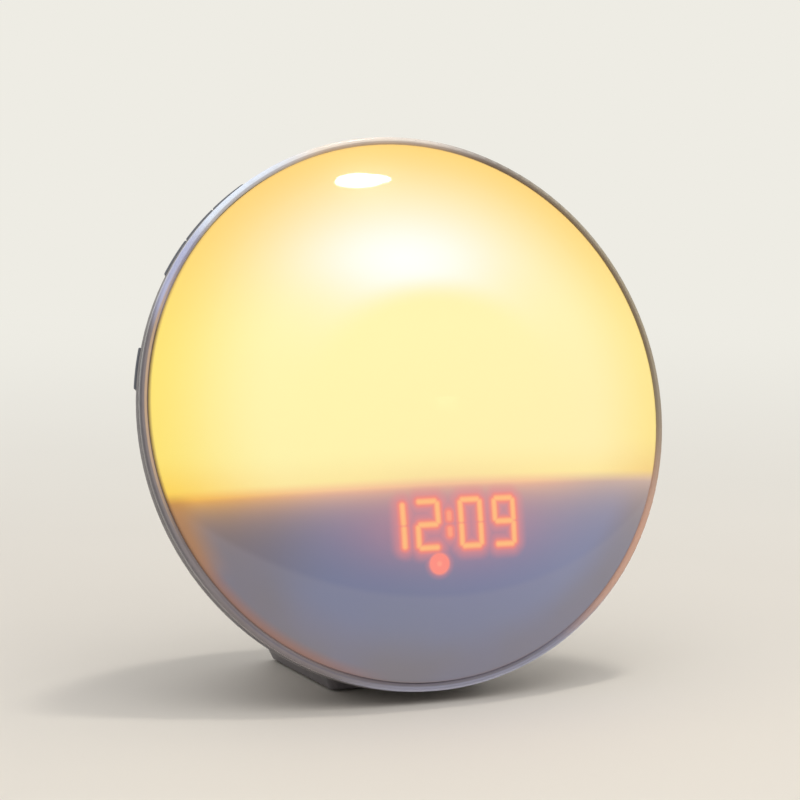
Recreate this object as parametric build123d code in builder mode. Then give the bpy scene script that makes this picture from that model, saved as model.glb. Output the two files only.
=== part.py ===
from build123d import *
from math import cos, hypot, radians, sin, sqrt
import os

# Sunrise alarm clock: an opal dome over a lamp and a digital display, held in a
# clear rim at the front of a leaning bowl-shaped housing with a flared foot.
#
# Frame: +Z up, the dome looks along -Y, the table is Z = 0, and the origin is the
# middle of the whole clock's footprint box. Millimetres throughout.
#
# Almost everything is built about the axis of the dome. Positions on it are given
# as x (right), up (along the leaning face) and depth (behind the rim's front).

# ---------------------------------------------------------------- driving sizes
rim_radius = 85.0  # outside of the clear rim, half the clock's width
rim_width = 2.4  # clear band seen around the dome
rim_depth = 2.4
face_lean = 12.6  # degrees that the face leans back
table_gap = 4.25  # rim's lowest point above the table

dome_height = 26.0  # crown of the dome ahead of the rim
dome_wall = 2.0
skirt_depth = 3.5  # dome's cylindrical edge behind the rim's front

wall = 2.3  # housing wall
band_depth = 5.5  # straight band of the housing behind the rim
body_depth = 54.0  # flat back behind the rim's front
back_radius = 39.7  # where the bowl's curve would meet the flat back
back_edge_radius = 6.0

foot_width = 47.0  # at its front
foot_length = 54.0
foot_front = 9.0  # foot's front edge behind the middle of the face
foot_corner = 2.5
foot_rear_spread = 2.0  # rear corners stand this much further out than the front ones
belt_rise = 5.0  # foot flares quickly up to this height
belt_flare = 2.3
belt_front_flare = 3.0
belt_rear_flare = 1.0
heel_drop = 28.2  # foot's hidden root inside the bowl, below the middle of the face
heel_half_width = 43.0
heel_rear = 40.5  # rear of the root behind the middle of the face
foot_floor = 2.6

slip = 0.2  # clearance of pieces that drop into each other
play = 0.3  # clearance round pieces that move

# ------------------------------------------------------------- derived geometry
lean = radians(face_lean)
dome_radius = rim_radius - rim_width - slip
dome_sphere = (dome_radius**2 + dome_height**2) / (2 * dome_height)
dome_centre = dome_sphere - dome_height  # behind the rim's front
# The bowl is part of a sphere through the band's edge and the flat back's edge.
bowl_centre = (rim_radius**2 + band_depth**2 - back_radius**2 - body_depth**2) / (
    2 * (body_depth - band_depth)
)  # ahead of the rim's front
bowl_radius = hypot(rim_radius, band_depth + bowl_centre)

front_reach = dome_sphere - dome_centre * cos(lean)
rear_reach = foot_front + foot_length + belt_rear_flare
face_y = (front_reach - rear_reach) / 2
face_z = table_gap + rim_radius * cos(lean)
heel_rise = face_z - heel_drop

face = Plane(
    origin=(0, face_y, face_z),
    x_dir=(1, 0, 0),
    z_dir=(0, -cos(lean), sin(lean)),
)
face_axis = Axis(face.origin, face.z_dir)


def behind(depth):
    """Plane parallel to the face, this far behind the rim's front."""
    return face.offset(-depth)


def meridian(angle):
    """Half-plane through the dome's axis: x runs outward at this clock angle."""
    outward = face.x_dir * cos(radians(angle)) + face.y_dir * sin(radians(angle))
    return Plane(origin=face.origin, x_dir=outward, z_dir=outward.cross(face.z_dir))


def polar(angle, outward, sideways=0.0):
    """Face coordinates of a point this far out at an angle, then to its side."""
    c, s = cos(radians(angle)), sin(radians(angle))
    return (outward * c - sideways * s, outward * s + sideways * c)


def outward_plane(angle, outward, sideways, depth):
    """Plane that looks straight out from the axis at this angle."""
    x, up = polar(angle, outward, sideways)
    direction = face.x_dir * cos(radians(angle)) + face.y_dir * sin(radians(angle))
    return Plane(
        origin=face.from_local_coords((x, up, -depth)),
        x_dir=face.z_dir,
        z_dir=direction,
    )


def dome_forward(radius, inset=0.0):
    """How far the dome's surface lies ahead of the rim at this radius."""
    return sqrt((dome_sphere - inset) ** 2 - radius**2) - dome_centre


def bowl_r(depth, inset=0.0):
    """Radius of the bowl at this depth, or of a surface inside its wall."""
    return sqrt((bowl_radius - inset) ** 2 - (depth + bowl_centre) ** 2)


def bowl_d(radius, inset=0.0):
    """Depth of the bowl at this radius."""
    return sqrt((bowl_radius - inset) ** 2 - radius**2) - bowl_centre


os.makedirs("parts", exist_ok=True)

# ------------------------------------------------------------------- front dome
snap_angles = (62, 118, 190, 236, 304, 350)  # dome's snap hooks round its edge
snap_span = 6.0  # degrees
snap_inner = dome_radius - 1.9
snap_thickness = 1.1
snap_length = 4.1
snap_hook = 0.65
ledge_thickness = 1.5
ledge_reach = 3.4  # width of the shelf under the dome's edge
ledge_radius = dome_radius - ledge_reach
ledge_back = skirt_depth + ledge_thickness
dome_inner = dome_radius - dome_wall

with BuildPart() as front_dome:
    with BuildSketch(meridian(0)):
        with BuildLine():
            crown = ThreePointArc(
                (0, dome_height),
                (dome_radius / 2, dome_forward(dome_radius / 2)),
                (dome_radius, 0),
            )
            skirt = Polyline(
                crown @ 1,
                (dome_radius, -skirt_depth),
                (dome_inner, -skirt_depth),
                (dome_inner, dome_forward(dome_inner, dome_wall)),
            )
            inside = ThreePointArc(
                skirt @ 1,
                (dome_inner / 2, dome_forward(dome_inner / 2, dome_wall)),
                (0, dome_height - dome_wall),
            )
            Line(inside @ 1, crown @ 0)
        make_face()
    revolve(axis=face_axis)
    # Hooks reach through the housing's ledge and catch under it.
    for angle in snap_angles:
        outside = snap_inner + snap_thickness
        with BuildSketch(meridian(angle - snap_span / 2)):
            with BuildLine():
                Polyline(
                    (snap_inner, -skirt_depth),
                    (outside, -skirt_depth),
                    (outside, -ledge_back - slip),
                    (outside + snap_hook, -ledge_back - slip),
                    (outside + snap_hook, -ledge_back - 2 * slip),
                    (snap_inner + snap_thickness / 2, -skirt_depth - snap_length),
                    (snap_inner, -skirt_depth - snap_length),
                    close=True,
                )
            make_face()
        revolve(axis=face_axis, revolution_arc=snap_span)

front_dome.part.label = "front_dome"
export_step(front_dome.part, "parts/front_dome.step")

# --------------------------------------------------------------- clear rim ring
leg_angles = (22, 70, 110, 158, 206, 240, 300, 334)
leg_span = 9.0  # degrees
leg_inner = rim_radius - 2.1
leg_thickness = 0.85
leg_hook = 0.35
leg_end = 5.4  # depth that the legs reach
leg_catch = 4.2  # depth of the catch that holds them
rim_inner = rim_radius - rim_width
rim_round = 1.1
rim_bevel = 0.4

with BuildPart() as rim_ring:
    with BuildSketch(meridian(0)) as rim_section:
        with Locations((rim_inner, 0)):
            Rectangle(rim_width, rim_depth, align=(Align.MIN, Align.MAX))
        front_corners = rim_section.vertices().group_by(Axis.Y)[-1]
        fillet(front_corners.sort_by(Axis.X)[-1], radius=rim_round)
        chamfer(rim_section.vertices().group_by(Axis.Y)[-1].sort_by(Axis.X)[0], length=rim_bevel)
    revolve(axis=face_axis)
    for angle in leg_angles:
        outside = leg_inner + leg_thickness
        with BuildSketch(meridian(angle - leg_span / 2)):
            with BuildLine():
                Polyline(
                    (leg_inner, -rim_depth),
                    (outside, -rim_depth),
                    (outside, -leg_catch - slip),
                    (outside + leg_hook, -leg_catch - slip),
                    (outside, -leg_end),
                    (leg_inner, -leg_end),
                    close=True,
                )
            make_face()
        revolve(axis=face_axis, revolution_arc=leg_span)

rim_ring.part.label = "rim_ring"
export_step(rim_ring.part, "parts/rim_ring.step")

# ------------------------------------------------------- layout of the side keys
key_angles = (127.7, 136.4, 145.1, 169.4)  # left side; the right side mirrors it
key_span = 8.4  # degrees, so neighbours stay a hair apart
key_length = 6.0  # along the dome's axis
key_clear = 0.5  # between a key's flange and the dome's ledge
key_proud = 0.9  # beyond the housing, so that a pressed key ends almost flush
key_lip = 0.8  # flange that keeps the key from falling out
key_flange = 1.2
key_edge = 0.5
key_travel = 0.8
key_front = ledge_back + key_clear + key_lip
key_rear = key_front + key_length
key_middle = (key_front + key_rear) / 2
key_shelf = wall + play  # flange's outer side, inside the bowl's surface
key_root = key_shelf + key_flange
window_end_gap = 0.25  # degrees
window_reach = 12.0  # radial size of the cut that opens a window

# Each key presses a switch on a small board that stands across its travel.
board_groups = (("upper", (0, 1, 2)), ("lower", (3,)))
switch_size = 6.0
switch_height = 3.5
switch_room = 4.3  # from a key's flange in to its switch
plunger_radius = 1.6
plunger_entry = 0.4
switch_well = key_travel + plunger_entry + slip + slip
key_board_distance = bowl_r(key_middle, key_root) - switch_height - switch_room
key_board_thickness = 1.2
key_board_front = ledge_back + play
key_board_rear = key_rear + key_lip + slip
key_board_end = 8.0  # board beyond its outermost switch
rail_thickness = 2.6
rail_lip = 1.5  # rail behind the board
rail_grip = 1.2  # how much of the board's end each rail holds
rail_play = 0.05  # round the board in its rails
rail_inner = key_board_distance - key_board_thickness - rail_lip
rail_floor = 1.8


def mirrored(side, angle):
    """The same clock angle on the left, or on the right."""
    return angle if side == "left" else 180.0 - angle


def press_angle(side, members):
    """Direction that the keys over one board travel along."""
    return mirrored(side, sum(key_angles[m] for m in members) / len(members))


def switch_offset(side, member, members):
    """Sideways place of a key's switch on its board."""
    turn = mirrored(side, key_angles[member]) - press_angle(side, members)
    return bowl_r(key_middle, key_root) * sin(radians(turn))


def board_half_length(members):
    """Half the length of the board under these keys."""
    spread = (key_angles[members[-1]] - key_angles[members[0]]) / 2
    return bowl_r(key_middle, key_root) * sin(radians(spread)) + key_board_end


key_banks = [
    (side, bank, members) for side in ("left", "right") for bank, members in board_groups
]

# ------------------------------------------------------- layout of the internals
divider_drop = 24.2  # top face of the light divider below the middle
divider_thickness = 1.6
dish_floor_depth = 13.0
dish_wall = 1.5
dish_shelf = 12.0  # flat border of the dish over the ledge
dish_slope = 6.0  # width of the slope between its border and its floor
dish_rim_radius = ledge_radius - dish_shelf
dish_floor_radius = dish_rim_radius - dish_slope
lamp_board_thickness = 1.6
lamp_screw_inset = 6.0  # from the edge of the dish's floor
lamp_screw_angles = (-12, 42, 138, 192)
lamp_screw_circle = dish_floor_radius - lamp_screw_inset
lamp_screw_places = [polar(angle, lamp_screw_circle) for angle in lamp_screw_angles]
lamp_boss_radius = 3.4

# display: the module's upper edge lies below the divider, the lamp below the module
digit_height = 14.2
digit_width = 8.0
digit_stroke = 1.8
colon_bar = 3.2  # height of each dot of the colon
colon_pitch = 4.8
colon_room = 2.0  # extra pitch across the colon
module_width = 48.0
module_border = (2.65, 1.2)  # beside the outer digits, and above and below them
module_height = digit_height + 2 * module_border[1]
module_depth = 7.0
digit_pitch = (module_width - 2 * module_border[0] - digit_width - colon_room) / 3
display_board_top = 1.0  # board above the module
display_board_drop = 1.7  # board below the divider
display_up = -(
    divider_drop + divider_thickness + display_board_drop + display_board_top + module_height / 2
)
indicator_x = -4.0
indicator_radius = 2.8
indicator_flange = 0.4
indicator_gap = 0.2  # from its flange up to the module
indicator_place = (
    indicator_x,
    display_up - module_height / 2 - indicator_gap - indicator_flange - indicator_radius,
)
peg_radius = 2.6
peg_head_radius = 2.0
peg_head_gap = 1.0  # screw heads beside the module
peg_inset = (3.5, 3.0)  # pegs from the board's ends and edges
peg_x = module_width / 2 + peg_head_gap + peg_head_radius
display_board_edge = 1.2  # board below the indicator's flange
display_board_width = 2 * (peg_x + peg_inset[0])
display_board_low = indicator_place[1] - indicator_radius - indicator_flange - display_board_edge
display_board_high = display_up + module_height / 2 + display_board_top
display_board_height = display_board_high - display_board_low
board_up = (display_board_high + display_board_low) / 2

panel_thickness = 1.6
panel_side_gap = 9.5  # from the panel's upper corners to the dome's wall
panel_half_width = sqrt(
    (dome_inner - panel_side_gap) ** 2 - (divider_drop + divider_thickness) ** 2
)
panel_arc_radius = 115.0  # lower edge of the panel
panel_drop = 57.5
panel_screw_side = 6.0  # outer screws from the panel's ends
panel_screw_board = 5.5  # inner screws from the display board's ends
panel_screw_edge = 5.0  # screws above the panel's lower edge
panel_boss_radius = 3.2


def panel_low(x):
    """Where the panel's lower edge lies at this x."""
    return panel_arc_radius - panel_drop - sqrt(panel_arc_radius**2 - x**2)


panel_screw_places = [
    (side * x, panel_low(x) + panel_screw_edge)
    for side in (-1, 1)
    for x in (panel_half_width - panel_screw_side, display_board_width / 2 + panel_screw_board)
]

main_board_depth = 24.0
main_board_thickness = 1.6
main_board_places = [(-34, -26), (-34, 18), (34, -26), (34, 18)]
main_boss_radius = 3.2

speaker_up = 8.0
speaker_radius = 20.0
speaker_screw_angles = (30, 150, 270)
speaker_boss_radius = 2.3
speaker_screw_circle = speaker_radius + speaker_boss_radius + play
speaker_pilot_radius = 1.0
gasket_height = 1.0
gasket_width = 1.8
gasket_inner = speaker_radius - gasket_width
flange_height = 1.2
flange_front = gasket_height + flange_height
grille_margin = 3.2  # outer ring of holes inside the gasket
grille_rings = 3
grille_pitch = (gasket_inner - grille_margin) / grille_rings
grille_hole_radius = 1.25

jack_place = (26.0, -15.0)
jack_well_radius = 6.5
jack_well_depth = 6.0
jack_well_wall = 1.8
jack_nose_radius = 4.2
jack_fit = 0.05

screw_radius = 1.3  # self-tapping screws into the housing's posts
pilot_radius = screw_radius + 0.05
pilot_depth = 9.0

pad_height = 1.5
pad_proud = 0.8
pad_bevel = 0.3
pad_end = 6.5  # from the pads' ends to the foot's sides
pad_length = foot_width - 2 * pad_end
pad_width = 8.0
pad_inset = 6.0  # pad's middle from the foot's end

cell_radius = 10.0
cell_height = 3.2
collar_margin = 2.0  # cap's collar outside the cell
cap_collar = cell_radius + collar_margin
cap_flange = 1.3  # cap's plate outside its collar
cap_radius = cap_collar + cap_flange
cap_thickness = 0.9
cap_recess = 0.3
cap_collar_height = 3.0
lug_length = 2.0  # lugs outside the collar
lug_reach = cap_collar + lug_length
lug_height = 1.3
lug_span = 40.0  # degrees
lug_turn = 45.0  # degrees from locked to free
gate_margin = 3.0  # degrees of room either side of a lug
holder_wall = 2.2
holder_radius = lug_reach + play + holder_wall
holder_roof = 1.6

underside = pad_proud
foot_middle = face_y + foot_front + foot_length / 2
floor_top = underside + foot_floor
cap_bottom = underside + cap_recess
collar_top = cap_bottom + cap_thickness + cap_collar_height
lug_bottom = floor_top + play
lug_top = lug_bottom + lug_height
cell_bottom = max(collar_top, lug_top) + play
cell_top = cell_bottom + cell_height
contact_gap = 1.0
holder_top = cell_top + contact_gap + holder_roof
cap_axis = Axis((0, foot_middle, 0), (0, 0, 1))


def upright(angle):
    """Half-plane through the battery cap's axis, with y running up."""
    outward = Vector(cos(radians(angle)), sin(radians(angle)), 0)
    return Plane(
        origin=cap_axis.position, x_dir=outward, z_dir=outward.cross(cap_axis.direction)
    )


# ------------------------------------------------------------------ back housing
def foot_outline(level, inset):
    """Half widths at the foot's front and rear, and where these lie, at a height."""
    belt = underside + belt_rise
    spread = foot_rear_spread
    if level <= belt:
        share = (level - underside) / belt_rise
        half = foot_width / 2 + share * belt_flare
        front = foot_front - share * belt_front_flare
        rear = foot_front + foot_length + share * belt_rear_flare
    else:
        share = (level - belt) / (heel_rise - belt)
        half = foot_width / 2 + belt_flare
        half += share * (heel_half_width - half)
        front = foot_front - belt_front_flare
        rear = foot_front + foot_length + belt_rear_flare
        rear += share * (heel_rear - rear)
        spread *= 1 - share
    half -= inset
    return half, half + spread, face_y + front + inset, face_y + rear - inset


def foot_level(level, inset=0.0):
    """Sketch of the foot's outline at a height: a little wider at its rear."""
    front_half, rear_half, front, rear = foot_outline(level, inset)
    with BuildSketch(Plane.XY.offset(level)) as outline:
        with BuildLine():
            Polyline(
                (-front_half, front),
                (front_half, front),
                (rear_half, rear),
                (-rear_half, rear),
                close=True,
            )
        make_face()
        fillet(outline.vertices(), radius=foot_corner)
    return outline.sketch


def bowl_section(inset, rim_edge, rim_start):
    """Half section of the bowl, or of the hollow inside it."""
    back = body_depth - inset
    flat = bowl_r(back, inset)
    start = bowl_d(rim_edge, inset)
    middle = (start + back) / 2
    with BuildSketch(meridian(0)) as section:
        with BuildLine():
            side = Polyline((0, -rim_start), (rim_edge, -rim_start), (rim_edge, -start))
            curve = ThreePointArc(
                side @ 1, (bowl_r(middle, inset), -middle), (flat, -back)
            )
            Polyline(curve @ 1, (0, -back), (0, -rim_start))
        make_face()
        corner = section.vertices().sort_by_distance((flat, -back))[0]
        fillet(corner, radius=back_edge_radius - inset)
    return section.sketch


# The hollow is made first. Whatever is taken out of the hollow stays standing in
# the moulding: posts, board rails, the jack's well and the coin cell's holder.
seat_radius = rim_radius - wall  # inside of the band
with BuildPart() as hollow:
    revolve(bowl_section(wall, seat_radius, rim_depth), axis=face_axis)
    loft(
        [foot_level(z, wall) for z in (floor_top, underside + belt_rise, heel_rise)],
        ruled=True,
    )
    # ledge that carries the dome's edge
    with BuildSketch(meridian(0)):
        with Locations((ledge_radius, -skirt_depth)):
            Rectangle(
                rim_radius - ledge_radius, ledge_thickness, align=(Align.MIN, Align.MAX)
            )
    revolve(axis=face_axis, mode=Mode.SUBTRACT)
    # screw posts, each starting at the depth of the piece that it carries
    for places, radius, seat in (
        (lamp_screw_places, lamp_boss_radius, dish_floor_depth + dish_wall),
        (panel_screw_places, panel_boss_radius, panel_thickness),
        (main_board_places, main_boss_radius, main_board_depth + main_board_thickness),
    ):
        with BuildSketch(behind(seat)):
            with Locations(*places):
                Circle(radius)
        extrude(amount=-body_depth, mode=Mode.SUBTRACT)
    # rails at both ends of every key board
    for side, bank, members in key_banks:
        angle = press_angle(side, members)
        rail_middle = board_half_length(members) - rail_grip + rail_thickness / 2
        with BuildSketch(behind(key_board_front)):
            for end in (-1, 1):
                with Locations(polar(angle, (rail_inner + seat_radius) / 2, end * rail_middle)):
                    Rectangle(seat_radius - rail_inner, rail_thickness, rotation=angle)
        extrude(amount=key_board_front - key_board_rear - rail_floor, mode=Mode.SUBTRACT)
    # posts for the speaker's screws and the tube round the power jack
    with BuildSketch(behind(body_depth)):
        with Locations((0, speaker_up)):
            with PolarLocations(speaker_screw_circle, 3, start_angle=speaker_screw_angles[0]):
                Circle(speaker_boss_radius)
    extrude(amount=wall + flange_front, mode=Mode.SUBTRACT)
    with BuildSketch(behind(body_depth)):
        with Locations(jack_place):
            Circle(jack_well_radius + jack_well_wall)
    extrude(amount=jack_well_depth + jack_well_wall, mode=Mode.SUBTRACT)
    # holder for the coin cell on the foot's floor
    with BuildSketch(Plane.XY.offset(underside)):
        with Locations((0, foot_middle)):
            Circle(holder_radius)
    extrude(amount=holder_top - underside, mode=Mode.SUBTRACT)

with BuildPart() as back_shell:
    revolve(bowl_section(0, rim_radius, rim_depth), axis=face_axis)
    loft([foot_level(z) for z in (underside, underside + belt_rise, heel_rise)], ruled=True)
    add(hollow.part, mode=Mode.SUBTRACT)

    # pockets for the clear rim's legs, with a catch for each hook
    for angle in leg_angles:
        outside = leg_inner + leg_thickness + slip
        bottom = leg_end + slip
        with BuildSketch(meridian(angle - leg_span / 2 - window_end_gap)):
            with BuildLine():
                Polyline(
                    (bowl_r(bottom, wall), -rim_depth),
                    (outside, -rim_depth),
                    (outside, -leg_catch),
                    (outside + leg_hook, -leg_catch),
                    (outside + leg_hook, -bottom),
                    (bowl_r(bottom, wall), -bottom),
                    close=True,
                )
            make_face()
        revolve(
            axis=face_axis,
            revolution_arc=leg_span + 2 * window_end_gap,
            mode=Mode.SUBTRACT,
        )

    # slots through the ledge for the dome's hooks
    for angle in snap_angles:
        with BuildSketch(meridian(angle - snap_span / 2 - window_end_gap)):
            with Locations((snap_inner - slip, -skirt_depth)):
                Rectangle(
                    snap_thickness + 2 * slip, ledge_thickness, align=(Align.MIN, Align.MAX)
                )
        revolve(
            axis=face_axis,
            revolution_arc=snap_span + 2 * window_end_gap,
            mode=Mode.SUBTRACT,
        )

    # windows for the side keys: one over each board
    for side, bank, members in key_banks:
        ends = [mirrored(side, key_angles[members[0]]), mirrored(side, key_angles[members[-1]])]
        first = min(ends) - key_span / 2 - window_end_gap
        last = max(ends) + key_span / 2 + window_end_gap
        with BuildSketch(meridian(first)):
            with Locations((ledge_radius - wall, -key_front + play)):
                Rectangle(
                    window_reach,
                    key_rear - key_front + 2 * play,
                    align=(Align.MIN, Align.MAX),
                )
        revolve(axis=face_axis, revolution_arc=last - first, mode=Mode.SUBTRACT)
        # the board's own slot in its two rails
        angle = press_angle(side, members)
        with BuildSketch(behind(key_board_front)):
            with Locations(polar(angle, key_board_distance - key_board_thickness / 2)):
                Rectangle(
                    key_board_thickness + 2 * rail_play,
                    2 * (board_half_length(members) + rail_play),
                    rotation=angle,
                )
        extrude(amount=key_board_front - key_board_rear, mode=Mode.SUBTRACT)

    # pilot holes in the screw posts
    for places, seat in (
        (lamp_screw_places, dish_floor_depth + dish_wall),
        (panel_screw_places, panel_thickness),
        (main_board_places, main_board_depth + main_board_thickness),
    ):
        with BuildSketch(behind(seat)):
            with Locations(*places):
                Circle(pilot_radius)
        extrude(amount=-pilot_depth, mode=Mode.SUBTRACT)
    with BuildSketch(behind(body_depth - wall - flange_front)):
        with Locations((0, speaker_up)):
            with PolarLocations(speaker_screw_circle, 3, start_angle=speaker_screw_angles[0]):
                Circle(speaker_pilot_radius)
    extrude(amount=-flange_front - wall / 2, mode=Mode.SUBTRACT)

    # speaker grille: rings of holes through the flat back
    with BuildSketch(behind(body_depth)):
        with Locations((0, speaker_up)):
            Circle(grille_hole_radius)
            for ring in range(1, grille_rings + 1):
                with PolarLocations(grille_pitch * ring, 6 * ring):
                    Circle(grille_hole_radius)
    extrude(amount=wall, mode=Mode.SUBTRACT)

    # recess for the power plug, and the hole for the jack's nose at its bottom
    with BuildSketch(behind(body_depth)):
        with Locations(jack_place):
            Circle(jack_well_radius)
    extrude(amount=jack_well_depth, mode=Mode.SUBTRACT)
    with BuildSketch(behind(body_depth - jack_well_depth)):
        with Locations(jack_place):
            Circle(jack_nose_radius + jack_fit)
    extrude(amount=jack_well_wall, mode=Mode.SUBTRACT)

    # coin cell: opening for the cap, gates for its lugs, room for the cell
    with BuildSketch(Plane.XY.offset(underside)):
        with Locations((0, foot_middle)):
            Circle(cap_radius + play)
    extrude(amount=cap_recess + cap_thickness + play, mode=Mode.SUBTRACT)
    with BuildSketch(Plane.XY.offset(underside)):
        with Locations((0, foot_middle)):
            Circle(cap_collar + play)
    extrude(amount=foot_floor, mode=Mode.SUBTRACT)
    for turn in (lug_turn, lug_turn + 180):
        gate = lug_span + 2 * gate_margin
        with BuildSketch(upright(turn - gate / 2)):
            with Locations((cap_collar, underside)):
                Rectangle(lug_reach + play - cap_collar, foot_floor, align=Align.MIN)
        revolve(axis=cap_axis, revolution_arc=gate, mode=Mode.SUBTRACT)
    with BuildSketch(Plane.XY.offset(floor_top)):
        with Locations((0, foot_middle)):
            Circle(lug_reach + play)
    extrude(amount=lug_top + play - floor_top, mode=Mode.SUBTRACT)
    with BuildSketch(Plane.XY.offset(floor_top)):
        with Locations((0, foot_middle)):
            Circle(cell_radius + play)
    extrude(amount=cell_top + contact_gap - floor_top, mode=Mode.SUBTRACT)

    # shallow beds for the two rubber strips
    with BuildSketch(Plane.XY.offset(underside)):
        for place in (pad_inset, foot_length - pad_inset):
            with Locations((0, face_y + foot_front + place)):
                SlotOverall(pad_length, pad_width)
    extrude(amount=pad_height - pad_proud, mode=Mode.SUBTRACT)

back_shell.part.label = "back_shell"
export_step(back_shell.part, "parts/back_shell.step")

# -------------------------------------------------------------------- foot pads
with BuildPart() as foot_pads:
    with BuildSketch(Plane.XY):
        for place in (pad_inset, foot_length - pad_inset):
            with Locations((0, face_y + foot_front + place)):
                SlotOverall(pad_length - 2 * slip, pad_width - 2 * slip)
    extrude(amount=pad_height)
    chamfer(foot_pads.edges().group_by(Axis.Z)[0], length=pad_bevel)

foot_pads.part.label = "foot_pads"
export_step(foot_pads.part, "parts/foot_pads.step")

# ----------------------------------------------------- coin cell and its holder
slot_length = 13.0  # coin slot across the cap
slot_width = 2.0
slot_depth = 0.5
lug_root = 1.0  # how far the lugs run into the collar
collar_wall = 1.6
cap_hub_radius = 7.5
cell_step = 1.2  # narrower lower face of the coin cell
cell_step_height = 0.4
cell_bevel = 0.3

with BuildPart() as battery_cap:
    with BuildSketch(upright(0)):
        with BuildLine():
            Polyline(
                (0, cap_bottom),
                (cap_radius, cap_bottom),
                (cap_radius, cap_bottom + cap_thickness),
                (cap_collar, cap_bottom + cap_thickness),
                (cap_collar, collar_top),
                (0, collar_top),
                close=True,
            )
        make_face()
    revolve(axis=cap_axis)
    for turn in (0, 180):
        with BuildSketch(upright(turn - lug_span / 2)):
            with Locations((cap_collar - lug_root, lug_bottom)):
                Rectangle(lug_reach - cap_collar + lug_root, lug_height, align=Align.MIN)
        revolve(axis=cap_axis, revolution_arc=lug_span)
    # hollow inside the collar, and the coin slot outside
    with BuildSketch(Plane.XY.offset(collar_top)):
        with Locations((0, foot_middle)):
            Circle(cap_collar - collar_wall)
            Circle(cap_hub_radius, mode=Mode.SUBTRACT)
    extrude(amount=cap_thickness - cap_collar_height, mode=Mode.SUBTRACT)
    with BuildSketch(Plane.XY.offset(cap_bottom)):
        with Locations((0, foot_middle)):
            SlotOverall(slot_length, slot_width)
    extrude(amount=slot_depth, mode=Mode.SUBTRACT)

battery_cap.part.label = "battery_cap"
export_step(battery_cap.part, "parts/battery_cap.step")

with BuildPart() as coin_cell:
    with BuildSketch(upright(0)):
        with BuildLine():
            Polyline(
                (0, cell_bottom),
                (cell_radius - cell_step, cell_bottom),
                (cell_radius - cell_step, cell_bottom + cell_step_height),
                (cell_radius, cell_bottom + cell_step_height + cell_bevel),
                (cell_radius, cell_top),
                (0, cell_top),
                close=True,
            )
        make_face()
    revolve(axis=cap_axis)

coin_cell.part.label = "coin_cell"
export_step(coin_cell.part, "parts/coin_cell.step")

# leaf that presses on the cell from above, and the strip that touches its side
leaf_length = 13.0
leaf_width = 3.0
leaf_thickness = 0.3
strip_span = 50.0  # degrees
strip_foot = 1.0  # strip starts this far above the cell's lower face

with BuildPart() as battery_contact_top:
    roof = cell_top + contact_gap
    with BuildSketch(Plane.XY.offset(roof)):
        with Locations((0, foot_middle)):
            SlotOverall(leaf_length, leaf_width)
    extrude(amount=-leaf_thickness)
    # the dimple that presses on the cell
    with BuildSketch(Plane.XY.offset(cell_top)):
        with Locations((0, foot_middle)):
            Circle(leaf_width / 2)
    extrude(amount=contact_gap)

battery_contact_top.part.label = "battery_contact_top"
export_step(battery_contact_top.part, "parts/battery_contact_top.step")

with BuildPart() as battery_contact_side:
    with BuildSketch(upright(90 - strip_span / 2)):
        with Locations((cell_radius, cell_bottom + strip_foot)):
            Rectangle(play, cell_height - strip_foot, align=Align.MIN)
    revolve(axis=cap_axis, revolution_arc=strip_span)

battery_contact_side.part.label = "battery_contact_side"
export_step(battery_contact_side.part, "parts/battery_contact_side.step")

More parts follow.
